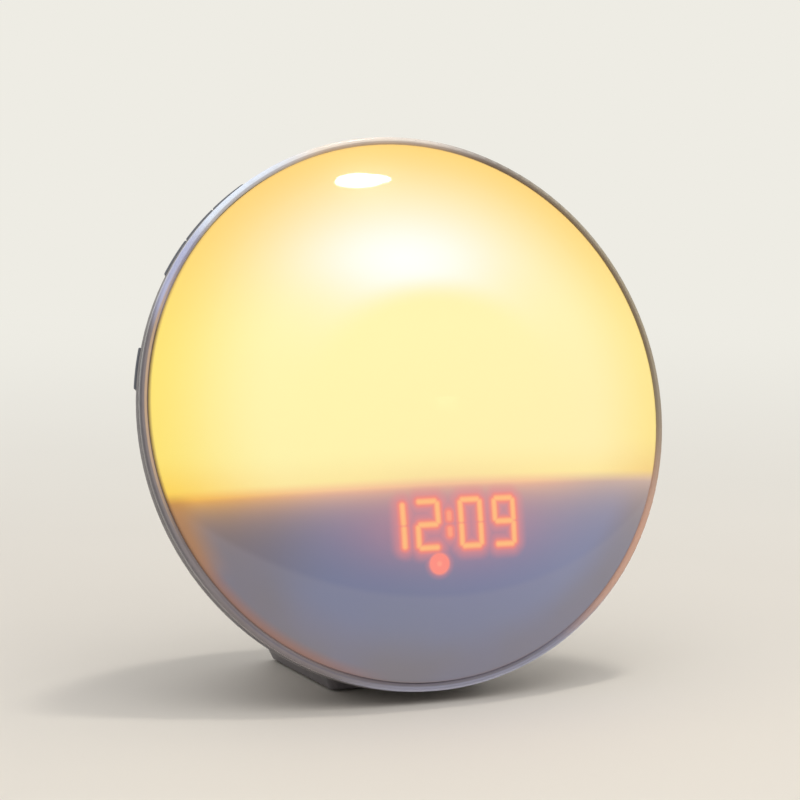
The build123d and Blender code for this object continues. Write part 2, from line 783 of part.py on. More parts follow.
# ------------------------------------------------------------ side keys, boards
for side, bank, members in key_banks:
    angle = press_angle(side, members)
    half_length = board_half_length(members)
    board_width = key_board_rear - key_board_front

    with BuildPart() as key_board:
        board_plane = outward_plane(
            angle, key_board_distance - key_board_thickness, 0, key_board_front
        )
        with BuildSketch(board_plane):
            Rectangle(board_width, 2 * half_length, align=(Align.MAX, Align.CENTER))
        extrude(amount=key_board_thickness)
    key_board.part.label = f"{side}_key_board_{bank}"
    export_step(key_board.part, f"parts/{key_board.part.label}.step")

    with BuildPart() as key_switches:
        for member in members:
            offset_along = switch_offset(side, member, members)
            top = key_board_distance + switch_height
            with BuildSketch(
                outward_plane(angle, key_board_distance, offset_along, key_middle)
            ):
                Rectangle(switch_size, switch_size)
            extrude(amount=switch_height)
            with BuildSketch(outward_plane(angle, top, offset_along, key_middle)):
                Circle(plunger_radius + play)
            extrude(amount=-switch_well, mode=Mode.SUBTRACT)
    key_switches.part.label = f"{side}_key_switches_{bank}"
    export_step(key_switches.part, f"parts/{key_switches.part.label}.step")

    for member in members:
        middle = mirrored(side, key_angles[member])
        with BuildPart() as key:
            lip_front, lip_rear = key_front - key_lip, key_rear + key_lip
            with BuildSketch(meridian(middle - key_span / 2)):
                with BuildLine():
                    ThreePointArc(
                        (bowl_r(key_front, -key_proud), -key_front),
                        (bowl_r(key_middle, -key_proud), -key_middle),
                        (bowl_r(key_rear, -key_proud), -key_rear),
                    )
                    Polyline(
                        (bowl_r(key_rear, -key_proud), -key_rear),
                        (bowl_r(key_rear, key_shelf), -key_rear),
                        (bowl_r(lip_rear, key_shelf), -lip_rear),
                        (bowl_r(lip_rear, key_root), -lip_rear),
                        (bowl_r(lip_front, key_root), -lip_front),
                        (bowl_r(lip_front, key_shelf), -lip_front),
                        (bowl_r(key_front, key_shelf), -key_front),
                        (bowl_r(key_front, -key_proud), -key_front),
                    )
                make_face()
            revolve(axis=face_axis, revolution_arc=key_span)
            touch = key.faces().sort_by_distance(
                outward_plane(middle, bowl_r(key_middle, -key_proud), 0, key_middle).origin
            )[0]
            fillet(touch.edges(), radius=key_edge)
            # plunger that reaches into the switch below
            offset_along = switch_offset(side, member, members)
            tip = key_board_distance + switch_height - plunger_entry
            stem_root = bowl_r(key_middle, wall) * cos(radians(middle - angle))
            with BuildSketch(outward_plane(angle, tip, offset_along, key_middle)):
                Circle(plunger_radius)
            extrude(amount=stem_root - tip)
        key.part.label = f"{side}_key_{member + 1}"
        export_step(key.part, f"parts/{key.part.label}.step")

# -------------------------------------------------------- light chamber and lamp
screw_head_radius = 2.8
screw_head_height = 1.8
screw_length = 8.0
screw_head_bevel = 0.7
above_divider = Plane(
    origin=face.from_local_coords((0, -divider_drop, 0)),
    x_dir=face.x_dir,
    z_dir=face.y_dir,
)

with BuildPart() as light_reflector:
    with BuildSketch(meridian(0)):
        with BuildLine():
            floor_back = dish_floor_depth + dish_wall
            Polyline(
                (0, -dish_floor_depth),
                (dish_floor_radius, -dish_floor_depth),
                (dish_rim_radius, -skirt_depth),
                (ledge_radius - play, -skirt_depth),
                (ledge_radius - play, -ledge_back),
                (dish_rim_radius + dish_wall, -ledge_back),
                (dish_floor_radius + dish_wall, -floor_back),
                (0, -floor_back),
                close=True,
            )
        make_face()
    revolve(axis=face_axis)
    split(bisect_by=above_divider, keep=Keep.TOP)
    with BuildSketch(behind(dish_floor_depth)):
        with Locations(*lamp_screw_places):
            Circle(screw_radius + slip)
    extrude(amount=-dish_wall, mode=Mode.SUBTRACT)

light_reflector.part.label = "light_reflector"
export_step(light_reflector.part, "parts/light_reflector.step")

lamp_board_inset = 1.5
lamp_board_radius = dish_floor_radius - lamp_board_inset
lamp_board_margin = 2.0  # board's lower edge above the divider
with BuildPart() as lamp_board:
    with BuildSketch(behind(dish_floor_depth)):
        Circle(lamp_board_radius)
        with Locations((0, -divider_drop + lamp_board_margin)):
            Rectangle(
                2 * lamp_board_radius,
                2 * lamp_board_radius,
                align=(Align.CENTER, Align.MAX),
                mode=Mode.SUBTRACT,
            )
        with Locations(*lamp_screw_places):
            Circle(screw_radius + slip, mode=Mode.SUBTRACT)
    extrude(amount=lamp_board_thickness)

lamp_board.part.label = "lamp_board"
export_step(lamp_board.part, "parts/lamp_board.step")

led_size = 5.0
led_height = 1.6
led_pitch_x = 14.0
led_pitch_up = 17.0
led_columns = 5
led_rows = 4
led_centre_up = 14.0
lamp_front = dish_floor_depth - lamp_board_thickness
with BuildPart() as lamp_leds:
    with BuildSketch(behind(lamp_front)):
        with Locations((0, led_centre_up)):
            with GridLocations(led_pitch_x, led_pitch_up, led_columns, led_rows):
                Rectangle(led_size, led_size)
    extrude(amount=led_height)

lamp_leds.part.label = "lamp_leds"
export_step(lamp_leds.part, "parts/lamp_leds.step")


def screws(places, head_depth, length):
    """Pan-head screws driven from the front: their heads sit at this depth."""
    with BuildPart() as group:
        with BuildSketch(behind(head_depth)):
            with Locations(*places):
                Circle(screw_head_radius)
        extrude(amount=screw_head_height)
        chamfer(group.edges().group_by(face_axis)[-1], length=screw_head_bevel)
        with BuildSketch(behind(head_depth)):
            with Locations(*places):
                Circle(screw_radius)
        extrude(amount=-length)
    return group.part


with BuildPart() as lamp_screws:
    add(screws(lamp_screw_places, lamp_front, screw_length + dish_wall))

lamp_screws.part.label = "lamp_screws"
export_step(lamp_screws.part, "parts/lamp_screws.step")

# ------------------------------------------- divider between lamp and display
divider_gap = 0.8  # to the inside of the dome
divider_half = sqrt((ledge_radius - play) ** 2 - (divider_drop + divider_thickness) ** 2)
divider_seat = dish_floor_depth + dish_wall


def divider_front(x):
    """Depth of the divider's front edge, just inside the dome."""
    return -dome_forward(hypot(x, divider_drop + divider_thickness), dome_wall + divider_gap)


with BuildPart() as light_divider:
    with BuildSketch(above_divider):
        with BuildLine():
            ThreePointArc(
                (-divider_half, divider_front(divider_half)),
                (0, divider_front(0)),
                (divider_half, divider_front(divider_half)),
            )
            Polyline(
                (divider_half, divider_front(divider_half)),
                (divider_half, ledge_back),
                (dish_floor_radius, divider_seat),
                (-dish_floor_radius, divider_seat),
                (-divider_half, ledge_back),
                (-divider_half, divider_front(divider_half)),
            )
        make_face()
    extrude(amount=-divider_thickness)

light_divider.part.label = "light_divider"
export_step(light_divider.part, "parts/light_divider.step")

# ----------------------------------------------------- display and its carrier
display_gap = 0.9  # module's lower corners to the inside of the dome
display_board_thickness = 1.6
segment_gap = 0.25
segment_inlay = 0.4
indicator_flange_height = 1.0
indicator_dome = 0.9  # share of its radius that the tip is rounded by

module_corner = hypot(module_width / 2, display_up - module_height / 2)
module_front = dome_forward(module_corner, dome_wall) - display_gap
board_front = module_front - module_depth
board_back = board_front - display_board_thickness
peg_places = [
    (x, up)
    for x in (-peg_x, peg_x)
    for up in (display_board_low + peg_inset[1], display_board_high - peg_inset[1])
]
peg_screw_radius = 0.95
peg_pilot_radius = 1.0
peg_head_height = 1.2
peg_screw_length = 5.0
wire_opening_inset = (12.5, 7.5)  # opening behind the board, from its ends and edges
wire_opening_corner = 2.0

with BuildPart() as display_panel:
    with BuildSketch(face):
        with Locations((0, panel_arc_radius - panel_drop)):
            Circle(panel_arc_radius)
        with Locations((0, -divider_drop - divider_thickness)):
            Rectangle(
                2 * panel_half_width,
                panel_arc_radius,
                align=(Align.CENTER, Align.MAX),
                mode=Mode.INTERSECT,
            )
        with Locations(*panel_screw_places):
            Circle(screw_radius + slip, mode=Mode.SUBTRACT)
    extrude(amount=-panel_thickness)
    with BuildSketch(face):
        with Locations(*peg_places):
            Circle(peg_radius)
    extrude(amount=board_back)
    with BuildSketch(face.offset(board_back)):
        with Locations(*peg_places):
            Circle(peg_pilot_radius)
    extrude(amount=-peg_screw_length, mode=Mode.SUBTRACT)
    # opening behind the board for its wires
    with BuildSketch(face):
        with Locations((0, board_up)):
            RectangleRounded(
                display_board_width - 2 * wire_opening_inset[0],
                display_board_height - 2 * wire_opening_inset[1],
                wire_opening_corner,
            )
    extrude(amount=-panel_thickness, mode=Mode.SUBTRACT)

display_panel.part.label = "display_panel"
export_step(display_panel.part, "parts/display_panel.step")

with BuildPart() as panel_screws:
    add(screws(panel_screw_places, 0, screw_length))

panel_screws.part.label = "panel_screws"
export_step(panel_screws.part, "parts/panel_screws.step")

with BuildPart() as display_board:
    with BuildSketch(face.offset(board_back)):
        with Locations((0, board_up)):
            Rectangle(display_board_width, display_board_height)
        with Locations(*peg_places):
            Circle(peg_pilot_radius + slip, mode=Mode.SUBTRACT)
    extrude(amount=display_board_thickness)

display_board.part.label = "display_board"
export_step(display_board.part, "parts/display_board.step")

with BuildPart() as display_screws:
    with BuildSketch(face.offset(board_front)):
        with Locations(*peg_places):
            Circle(peg_head_radius)
    extrude(amount=peg_head_height)
    with BuildSketch(face.offset(board_front)):
        with Locations(*peg_places):
            Circle(peg_screw_radius)
    extrude(amount=-peg_screw_length)

display_screws.part.label = "display_screws"
export_step(display_screws.part, "parts/display_screws.step")

digit_places = [
    (side * (colon_room / 2 + digit_pitch * step), display_up)
    for side in (-1, 1)
    for step in (0.5, 1.5)
]


def digit_bars():
    """Outlines of every bar of the four digits, and the two dots of the colon."""
    across = digit_width - digit_stroke
    rise = (digit_height - digit_stroke) / 2
    with BuildSketch() as bars:
        for x, up in digit_places:
            flat_places = [(x, up + step * rise) for step in (-1, 0, 1)]
            tall_places = [
                (x + end * across / 2, up + half * rise / 2) for end in (-1, 1) for half in (-1, 1)
            ]
            for places, length, turn in (
                (flat_places, across, 0),
                (tall_places, rise, 90),
            ):
                tip = length / 2 - segment_gap
                shoulder = tip - digit_stroke / 2
                with Locations(*places):
                    Polygon(
                        (-tip, 0),
                        (-shoulder, -digit_stroke / 2),
                        (shoulder, -digit_stroke / 2),
                        (tip, 0),
                        (shoulder, digit_stroke / 2),
                        (-shoulder, digit_stroke / 2),
                        rotation=turn,
                    )
        with Locations(*[(0, display_up + step * colon_pitch / 2) for step in (-1, 1)]):
            SlotOverall(colon_bar, digit_stroke, rotation=90)
    return bars.sketch


with BuildPart() as digit_segments:
    with BuildSketch(face.offset(module_front - segment_inlay)):
        add(digit_bars())
    extrude(amount=segment_inlay)

digit_segments.part.label = "digit_segments"
export_step(digit_segments.part, "parts/digit_segments.step")

with BuildPart() as digit_display:
    with BuildSketch(face.offset(board_front)):
        with Locations((0, display_up)):
            Rectangle(module_width, module_height)
    extrude(amount=module_depth)
    add(digit_segments.part, mode=Mode.SUBTRACT)

digit_display.part.label = "digit_display"
export_step(digit_display.part, "parts/digit_display.step")

with BuildPart() as indicator_led:
    led_reach = module_front - board_front
    with BuildSketch(face.offset(board_front)):
        with Locations(indicator_place):
            Circle(indicator_radius + indicator_flange)
    extrude(amount=indicator_flange_height)
    with BuildSketch(face.offset(board_front)):
        with Locations(indicator_place):
            Circle(indicator_radius)
    extrude(amount=led_reach)
    tip_edge = indicator_led.edges().group_by(face_axis)[-1]
    fillet(tip_edge, radius=indicator_radius * indicator_dome)

indicator_led.part.label = "indicator_led"
export_step(indicator_led.part, "parts/indicator_led.step")

# ------------------------------------------------------------------- main board
main_board_width = 78.0
main_board_height = 56.0
main_board_up = -4.0
main_board_corner = 2.0
chips = (((-8, 2), (12, 12)), ((12, 6), (6, 5)), ((12, -10), (8, 6)))  # place, size
chip_height = 1.6
capacitor_places = ((26, -6), (26, 4))
capacitor_radius = 3.15
capacitor_height = 6.5
capacitor_bevel = 0.4
connector_places = ((-18, -27, 0), (0, -27, 0), (18, -27, 0), (0, 19, 0), (-35, -4, 90), (35, -4, 90))
connector_size = (10.0, 5.0)
connector_height = 5.0

with BuildPart() as main_board:
    with BuildSketch(behind(main_board_depth + main_board_thickness)):
        with Locations((0, main_board_up)):
            RectangleRounded(main_board_width, main_board_height, main_board_corner)
        with Locations(*main_board_places):
            Circle(screw_radius + slip, mode=Mode.SUBTRACT)
    extrude(amount=main_board_thickness)

main_board.part.label = "main_board"
export_step(main_board.part, "parts/main_board.step")

with BuildPart() as main_board_screws:
    add(screws(main_board_places, main_board_depth, screw_length))

main_board_screws.part.label = "main_board_screws"
export_step(main_board_screws.part, "parts/main_board_screws.step")

with BuildPart() as board_chips:
    with BuildSketch(behind(main_board_depth)):
        for place, size in chips:
            with Locations(place):
                Rectangle(*size)
    extrude(amount=chip_height)

board_chips.part.label = "board_chips"
export_step(board_chips.part, "parts/board_chips.step")

with BuildPart() as board_capacitors:
    with BuildSketch(behind(main_board_depth)):
        with Locations(*capacitor_places):
            Circle(capacitor_radius)
    extrude(amount=capacitor_height)
    chamfer(board_capacitors.edges().group_by(face_axis)[-1], length=capacitor_bevel)

board_capacitors.part.label = "board_capacitors"
export_step(board_capacitors.part, "parts/board_capacitors.step")

with BuildPart() as board_connectors:
    with BuildSketch(behind(main_board_depth)):
        for x, up, turn in connector_places:
            with Locations((x, up)):
                Rectangle(*connector_size, rotation=turn)
    extrude(amount=connector_height)

board_connectors.part.label = "board_connectors"
export_step(board_connectors.part, "parts/board_connectors.step")

# -------------------------------------------------------------------- power jack
jack_front = body_depth - jack_well_depth  # mouth of the jack, behind the face
jack_body = 9.0
jack_bore = 3.2
jack_bore_depth = 9.0
pin_radius = 1.0
pin_recess = 1.0  # pin's tip inside the mouth

with BuildPart() as power_jack:
    with BuildSketch(behind(jack_front)):
        with Locations(jack_place):
            Circle(jack_nose_radius)
    extrude(amount=jack_well_wall)
    with BuildSketch(behind(jack_front - jack_well_wall)):
        with Locations(jack_place):
            Rectangle(jack_body, jack_body)
    extrude(amount=jack_bore_depth)
    with BuildSketch(behind(jack_front)):
        with Locations(jack_place):
            Circle(jack_bore)
    extrude(amount=jack_bore_depth, mode=Mode.SUBTRACT)

power_jack.part.label = "power_jack"
export_step(power_jack.part, "parts/power_jack.step")

with BuildPart() as power_jack_pin:
    with BuildSketch(behind(jack_front - pin_recess)):
        with Locations(jack_place):
            Circle(pin_radius)
    extrude(amount=jack_bore_depth - pin_recess)

power_jack_pin.part.label = "power_jack_pin"
export_step(power_jack_pin.part, "parts/power_jack_pin.step")

# ----------------------------------------------------------------------- speaker
speaker_seat = Plane(
    origin=face.from_local_coords((0, speaker_up, wall - body_depth)),
    x_dir=face.x_dir,
    z_dir=face.z_dir,
)
speaker_axis = Axis(speaker_seat.origin, face.z_dir)
speaker_section = Plane(
    origin=speaker_seat.origin, x_dir=face.x_dir, z_dir=face.x_dir.cross(face.z_dir)
)
frame_rim = 2.0  # width of the frame's edge outside the basket's mouth
basket_mouth = speaker_radius - frame_rim
cone_edge = basket_mouth - play
basket_depth = 9.0
basket_wall = 0.8
basket_sill = 3.6  # height that the basket starts to narrow at
basket_window = (8.0, 14.0)
window_margin = 1.2
magnet_inset = 3.0  # magnet's edge inside the basket's mouth
magnet_radius = basket_mouth - magnet_inset
neck_inset = 2.0  # basket's opening inside the magnet's edge
basket_neck = magnet_radius - neck_inset
magnet_height = 5.0
yoke_height = 2.5
yoke_bevel = 0.6
pole_radius = 6.1
coil_inner = pole_radius + play
coil_wall = 0.6
coil_outer = coil_inner + coil_wall
coil_end = 11.6
plate_hole = coil_outer + play
speaker_head_radius = 3.4  # washer heads hold the frame's edge
speaker_head_height = 1.4
speaker_screw_radius = 0.95
speaker_screw_length = 3.0

with BuildPart() as speaker_gasket:
    with BuildSketch(speaker_seat):
        Circle(speaker_radius)
        Circle(gasket_inner, mode=Mode.SUBTRACT)
    extrude(amount=gasket_height)

speaker_gasket.part.label = "speaker_gasket"
export_step(speaker_gasket.part, "parts/speaker_gasket.step")

with BuildPart() as speaker_frame:
    with BuildSketch(speaker_section):
        with BuildLine():
            Polyline(
                (basket_mouth, gasket_height),
                (speaker_radius, gasket_height),
                (speaker_radius, flange_front),
                (basket_mouth + basket_wall, flange_front),
                (basket_mouth + basket_wall, basket_sill),
                (magnet_radius, basket_depth),
                (magnet_radius, basket_depth + basket_wall),
                (plate_hole, basket_depth + basket_wall),
                (plate_hole, basket_depth),
                (basket_neck, basket_depth),
                (basket_mouth, basket_sill),
                close=True,
            )
        make_face()
    revolve(axis=speaker_axis)
    # four windows in the basket
    with BuildSketch(speaker_seat.offset(flange_front + window_margin)):
        with PolarLocations(basket_mouth, 4, start_angle=45):
            Rectangle(*basket_window)
    extrude(amount=basket_depth - flange_front - 2 * window_margin, mode=Mode.SUBTRACT)

speaker_frame.part.label = "speaker_frame"
export_step(speaker_frame.part, "parts/speaker_frame.step")

# cone: radius and height of the points of its section
roll_width = 2.5
roll_inner = cone_edge - roll_width
roll_middle = cone_edge - roll_width / 2
roll_height = 1.9
roll_bulge = 1.0
paper_thickness = 0.7
neck_height = 5.6
dust_height = 3.9


def cap_height(radius, edge, rise):
    """Height of a spherical cap's surface above its middle, centred on the axis."""
    ball = (edge**2 + rise**2) / (2 * rise)
    return ball - sqrt(ball**2 - radius**2)


with BuildPart() as speaker_cone:
    rise = neck_height - dust_height
    roll_top = roll_height + paper_thickness
    neck_top = neck_height + paper_thickness
    dust_top = dust_height + paper_thickness
    with BuildSketch(speaker_section):
        with BuildLine():
            ThreePointArc(
                (cone_edge, roll_height),
                (roll_middle, roll_height - roll_bulge),
                (roll_inner, roll_height),
            )
            Line((roll_inner, roll_height), (coil_outer, neck_height))
            ThreePointArc(
                (coil_outer, neck_height),
                (coil_outer / 2, dust_height + cap_height(coil_outer / 2, coil_outer, rise)),
                (0, dust_height),
            )
            Line((0, dust_height), (0, dust_top))
            ThreePointArc(
                (0, dust_top),
                (coil_inner / 2, dust_top + cap_height(coil_inner / 2, coil_inner, rise)),
                (coil_inner, neck_top),
            )
            Polyline(
                (coil_inner, neck_top),
                (coil_inner, coil_end),
                (coil_outer, coil_end),
                (coil_outer, neck_top + paper_thickness / 2),
                (roll_inner, roll_top),
            )
            ThreePointArc(
                (roll_inner, roll_top),
                (roll_middle, roll_top - roll_bulge),
                (cone_edge, roll_top),
            )
            Line((cone_edge, roll_top), (cone_edge, roll_height))
        make_face()
    revolve(axis=speaker_axis)

speaker_cone.part.label = "speaker_cone"
export_step(speaker_cone.part, "parts/speaker_cone.step")

magnet_back = basket_depth + basket_wall
with BuildPart() as speaker_magnet:
    with BuildSketch(speaker_seat.offset(magnet_back)):
        Circle(magnet_radius)
        Circle(plate_hole + coil_wall, mode=Mode.SUBTRACT)
    extrude(amount=magnet_height)

speaker_magnet.part.label = "speaker_magnet"
export_step(speaker_magnet.part, "parts/speaker_magnet.step")

with BuildPart() as speaker_yoke:
    with BuildSketch(speaker_seat.offset(magnet_back + magnet_height)):
        Circle(magnet_radius)
    extrude(amount=yoke_height)
    chamfer(speaker_yoke.edges().group_by(face_axis)[-1], length=yoke_bevel)
    with BuildSketch(speaker_seat.offset(magnet_back + magnet_height)):
        Circle(pole_radius)
    extrude(amount=-magnet_height - basket_wall)

speaker_yoke.part.label = "speaker_yoke"
export_step(speaker_yoke.part, "parts/speaker_yoke.step")

with BuildPart() as speaker_screws:
    with BuildSketch(speaker_seat.offset(flange_front)):
        with PolarLocations(speaker_screw_circle, 3, start_angle=speaker_screw_angles[0]):
            Circle(speaker_head_radius)
    extrude(amount=speaker_head_height)
    with BuildSketch(speaker_seat.offset(flange_front)):
        with PolarLocations(speaker_screw_circle, 3, start_angle=speaker_screw_angles[0]):
            Circle(speaker_screw_radius)
    extrude(amount=-speaker_screw_length)

speaker_screws.part.label = "speaker_screws"
export_step(speaker_screws.part, "parts/speaker_screws.step")
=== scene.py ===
import math

import bpy
from mathutils import Matrix, Vector


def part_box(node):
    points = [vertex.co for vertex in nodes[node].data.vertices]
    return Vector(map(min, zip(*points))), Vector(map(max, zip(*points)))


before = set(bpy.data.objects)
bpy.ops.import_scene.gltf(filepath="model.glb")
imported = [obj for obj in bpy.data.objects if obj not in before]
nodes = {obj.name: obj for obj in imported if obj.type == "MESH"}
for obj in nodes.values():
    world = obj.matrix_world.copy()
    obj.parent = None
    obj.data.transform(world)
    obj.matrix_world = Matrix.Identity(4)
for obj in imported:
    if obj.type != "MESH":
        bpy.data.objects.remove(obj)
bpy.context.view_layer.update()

MM = 0.001

# The clock's face: its axis leans back, and places on it are given in millimetres
# as x (right), up (along the face) and out (ahead of the rim).
RIM_RADIUS = 85.0
RIM_DEPTH = 2.4
DOME_RADIUS = 82.4
DOME_HEIGHT = 26.0
LEAN = math.radians(12.6)
FACE_RIGHT = Vector((1, 0, 0))
FACE_UP = Vector((0, math.sin(LEAN), math.cos(LEAN)))
FACE_AXIS = Vector((0, -math.cos(LEAN), math.sin(LEAN)))

ring_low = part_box("rim_ring")[0]
dome_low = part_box("front_dome")[0]
DOME_SPHERE = (DOME_RADIUS**2 + DOME_HEIGHT**2) / (2 * DOME_HEIGHT)
DOME_CENTRE = DOME_SPHERE - DOME_HEIGHT  # how far behind the rim the sphere's centre lies
face_z = ring_low.z / MM + RIM_RADIUS * math.cos(LEAN) + RIM_DEPTH * math.sin(LEAN)
face_y = dome_low.y / MM + DOME_SPHERE - DOME_CENTRE * math.cos(LEAN)
FACE = Vector((0, face_y, face_z)) * MM


def on_dome(x, up):
    """The point of the dome's outer surface over this place on the face."""
    out = math.sqrt(DOME_SPHERE**2 - x**2 - up**2) - DOME_CENTRE
    return FACE + (FACE_RIGHT * x + FACE_UP * up + FACE_AXIS * out) * MM


# ----------------------------------------------------------------- shader helpers
def srgb(r, g, b):
    """A colour given by its screen values, 0 to 255, in the renderer's own scale."""
    out = []
    for value in (r, g, b):
        v = value / 255
        out.append(v / 12.92 if v <= 0.04045 else ((v + 0.055) / 1.055) ** 2.4)
    return (*out, 1.0)


class Nodes:
    """The nodes of one tree, made by calls that read as sums."""

    def __init__(self, tree):
        self.tree = tree
        tree.nodes.clear()

    def node(self, kind, **settings):
        made = self.tree.nodes.new(kind)
        for name, value in settings.items():
            setattr(made, name, value)
        return made

    def put(self, socket, value):
        """Link an output to the socket, or give the socket a plain value."""
        if isinstance(value, bpy.types.NodeSocket):
            self.tree.links.new(value, socket)
        else:
            socket.default_value = value

    def fill(self, made, values):
        """Put the values into a node's first sockets, in order."""
        for socket, value in zip(made.inputs, values):
            self.put(socket, value)
        return made

    def math(self, operation, *values):
        made = self.node("ShaderNodeMath", operation=operation)
        return self.fill(made, values).outputs[0]

    def vector(self, operation, *values):
        made = self.fill(self.node("ShaderNodeVectorMath", operation=operation), values)
        one_number = operation in ("LENGTH", "DOT_PRODUCT")
        return made.outputs["Value" if one_number else "Vector"]

    def times(self, value, *others):
        for other in others:
            value = self.math("MULTIPLY", value, other)
        return value

    def squares(self, x, y):
        return self.math("ADD", self.times(x, x), self.times(y, y))

    def decay(self, value):
        """1 at 0, and smaller by the factor e with each step of 1."""
        return self.math("EXPONENT", self.times(value, -1.0))

    def step(self, value, start, end, low=0.0, high=1.0):
        """Smooth step of value from start to end."""
        made = self.node("ShaderNodeMapRange", interpolation_type="SMOOTHSTEP")
        return self.fill(made, (value, start, end, low, high)).outputs[0]

    def mix(self, share, first, second, blend="MIX"):
        made = self.node("ShaderNodeMix", data_type="RGBA", blend_type=blend)
        self.put(made.inputs["Factor"], share)
        self.put(made.inputs[6], first)
        self.put(made.inputs[7], second)
        return made.outputs[2]

    def blend(self, share, first, second):
        """One shader turned into another."""
        made = self.node("ShaderNodeMixShader")
        return self.fill(made, (share, first, second)).outputs[0]

    def shown_rays(self):
        """1 for rays that show the background, 0 for those that only carry its light."""
        path = self.node("ShaderNodeLightPath")
        shown = path.outputs["Is Camera Ray"]
        for kind in ("Is Transmission Ray", "Is Glossy Ray"):
            shown = self.math("MAXIMUM", shown, path.outputs[kind])
        return shown


class Shader(Nodes):
    """A material. The keywords are its surface's own sockets, with _ for a space."""

    def __init__(self, name, **fixed):
        self.material = bpy.data.materials.new(name)
        self.material.use_nodes = True
        super().__init__(self.material.node_tree)
        self.out = self.node("ShaderNodeOutputMaterial")
        self.surface = self.node("ShaderNodeBsdfPrincipled")
        self.put(self.out.inputs["Surface"], self.surface.outputs[0])
        for socket, value in fixed.items():
            self.set(socket.replace("_", " "), value)
        self.place = self.node("ShaderNodeTexCoord").outputs["Object"]

    def set(self, socket, value):
        self.put(self.surface.inputs[socket], value)

    def noise(self, scale, detail=3.0, stretch=None):
        made = self.node("ShaderNodeTexNoise")
        where = self.vector("MULTIPLY", self.place, stretch) if stretch else self.place
        self.put(made.inputs["Vector"], where)
        made.inputs["Scale"].default_value = scale
        made.inputs["Detail"].default_value = detail
        made.inputs["Roughness"].default_value = 0.55
        return made.outputs["Fac"]

    def vary(self, colour, spread, scale):
        """The colour, a little lighter and darker from place to place."""
        lighter = tuple(min(1.0, c * (1 + spread)) for c in colour[:3]) + (1.0,)
        darker = tuple(c * (1 - spread) for c in colour[:3]) + (1.0,)
        return self.mix(self.step(self.noise(scale), 0.3, 0.7), darker, lighter)

    def bump(self, height, strength, distance):
        made = self.node("ShaderNodeBump")
        made.inputs["Strength"].default_value = strength
        made.inputs["Distance"].default_value = distance
        self.put(made.inputs["Height"], height)
        self.set("Normal", made.outputs["Normal"])

    def along(self, direction):
        """How far the shaded point lies from the face's middle this way, in mm."""
        offset = self.vector("SUBTRACT", self.place, tuple(FACE))
        return self.times(self.vector("DOT_PRODUCT", offset, tuple(direction)), 1 / MM)


class FaceShader(Shader):
    """A material that knows its place on the face: x, up, distance from the axis."""

    def __init__(self, name, **fixed):
        super().__init__(name, **fixed)
        self.x = self.along(FACE_RIGHT)
        self.up = self.along(FACE_UP)
        self.radius = self.math("SQRT", self.squares(self.x, self.up))

    def toward(self, angle, spread):
        """1 in this direction from the axis, fading to 0 at this many degrees off."""
        a = math.radians(angle)
        along = self.math(
            "ADD", self.times(self.x, math.cos(a)), self.times(self.up, math.sin(a))
        )
        cosine = self.math("DIVIDE", along, self.radius)
        return self.step(cosine, math.cos(math.radians(spread)), 1.0)


def paint(material, *names):
    for name in names:
        slots = nodes[name].data.materials
        slots.clear()
        slots.append(material)


# ------------------------------------------------------------------ the opal dome
GLOW_SHARE = 0.66  # of the dome's colour that is given off
SKIN_SHARE = 0.42  # of the dome's colour that is reflected

# The divider between the lamp's part and the display's part, as the dome shows it
DIVIDER_UP = -25.4
DIVIDER_BEND = 0.00015  # it rises by this times x squared
DIVIDER_BLUR = (1.4, -3.0)  # from the display's part to the lamp's, measured downwards
LEAK_REACH = (4.4, 6.0)  # how far the lamp's light leaks past it, left to right

# The lamp's part: its board's disc is evenly lit, and a painted highlight, a soft bright
# bloom, shows past it
LAMP_DISC_UP = -10.0
LAMP_DISC_EDGE = (38.0, 49.0)
BLOOM_HIGHLIGHTS = (  # the painted bloom: middle, reach, strength and colour
    ((-5, 44), (35, 22), 0.66, (255, 244, 232)),
    ((-7, 42), (24, 11), 0.8, (255, 255, 252)),
)

# The display's part: the lower edge of the carrier behind the dome shows as an arc
CARRIER_MIDDLE = (2.0, 57.4)
CARRIER_EDGE = (113.8, 116.2)

SKIRT_EDGE = (81.7, 82.4)  # radii between which painted shade darkens the dome's skirt

DIGIT_MIDDLE = -36.7
DIGIT_HALF = 6.65  # half height between the strokes' middles
DIGIT_REACH = 3.15  # half width between the strokes' middles
DIGIT_LEAN = 0.093  # the digits lie behind the dome, so they show a little slanted
DIGIT_GAP = 0.75  # from a stroke's end to the next stroke's middle
DIGITS = ((-17.55, "1"), (-6.93, "2"), (6.62, "0"), (17.75, "9"))
COLON = ((-0.3, -34.5), (-0.3, -39.05))
COLON_HALF = 0.75
INDICATOR = (-4.07, -48.1)
HAZE_SIZE = (25, 10.5)  # of the glow round all digits
STROKES = {  # middle and direction of each stroke
    "a": ((0, 1), (1, 0)),
    "b": ((1, 0.5), (0, 1)),
    "c": ((1, -0.5), (0, 1)),
    "d": ((0, -1), (1, 0)),
    "e": ((-1, -0.5), (0, 1)),
    "f": ((-1, 0.5), (0, 1)),
    "g": ((0, 0), (1, 0)),
}
LIT = {"1": "bc", "2": "abged", "0": "abcdef", "9": "abcdfg"}


def digit_bars():
    """Middle and half size of the middle line of each lit stroke."""
    bars = []
    for middle, digit in DIGITS:
        for name in LIT[digit]:
            (px, py), (wide, tall) = STROKES[name]
            centre = (middle + px * DIGIT_REACH, DIGIT_MIDDLE + py * DIGIT_HALF)
            half = (wide * (DIGIT_REACH - DIGIT_GAP), tall * (DIGIT_HALF / 2 - DIGIT_GAP))
            bars.append((centre, half))
    return bars


